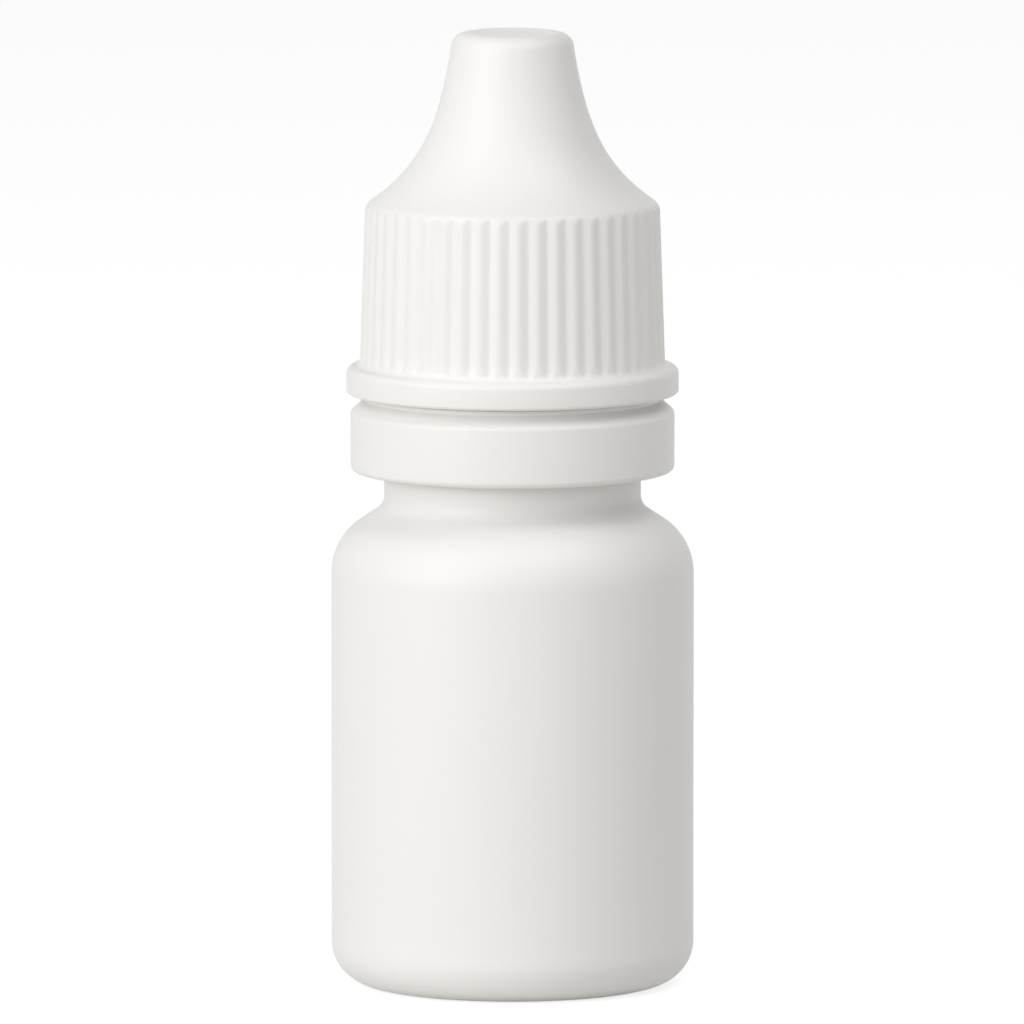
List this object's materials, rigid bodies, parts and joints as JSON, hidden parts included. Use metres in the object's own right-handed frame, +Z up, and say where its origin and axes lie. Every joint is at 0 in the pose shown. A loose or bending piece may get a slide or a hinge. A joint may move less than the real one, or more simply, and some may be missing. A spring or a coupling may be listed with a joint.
{
  "type": "dropper bottle",
  "caption": "Round squeeze bottle with a press-in dropper under a ribbed, tapered screw cap and a tamper-evident band.",
  "frame": {"origin": "centre of the standing ring, on the surface that the bottle stands on", "axes": "+Z up along the bottle's axis towards the cap's nose, -Y towards the camera of the picture, +X to its right"},
  "size_m": [0.025, 0.025, 0.0659],
  "materials": {
    "bottle_ldpe": "satin white polyethylene, blow moulded",
    "dropper_ldpe": "satin natural white polyethylene, injection moulded",
    "cap_pp": "satin white polypropylene, injection moulded",
    "band_pp": "satin white polypropylene, injection moulded with the cap"
  },
  "bodies": {
    "bottle": {"bottle": "bottle_ldpe", "dropper_plug": "dropper_ldpe"},
    "band": {"tamper_band": "band_pp"},
    "cap": {"screw_cap": "cap_pp"}
  },
  "joints": [
    {"name": "cap_turn", "type": "hinge", "parent": "bottle", "child": "band", "pos_m": [0, 0, 0], "axis": [0, 0, 1], "range_deg": [0, 3060]},
    {"name": "cap_lift", "type": "slide", "parent": "band", "child": "cap", "axis": [0, 0, 1], "range_m": [0, 0.0255]}
  ],
  "couplings": [
    {"joint": "cap_lift", "follows": "cap_turn", "m_per_rad": 0.00047746}
  ]
}
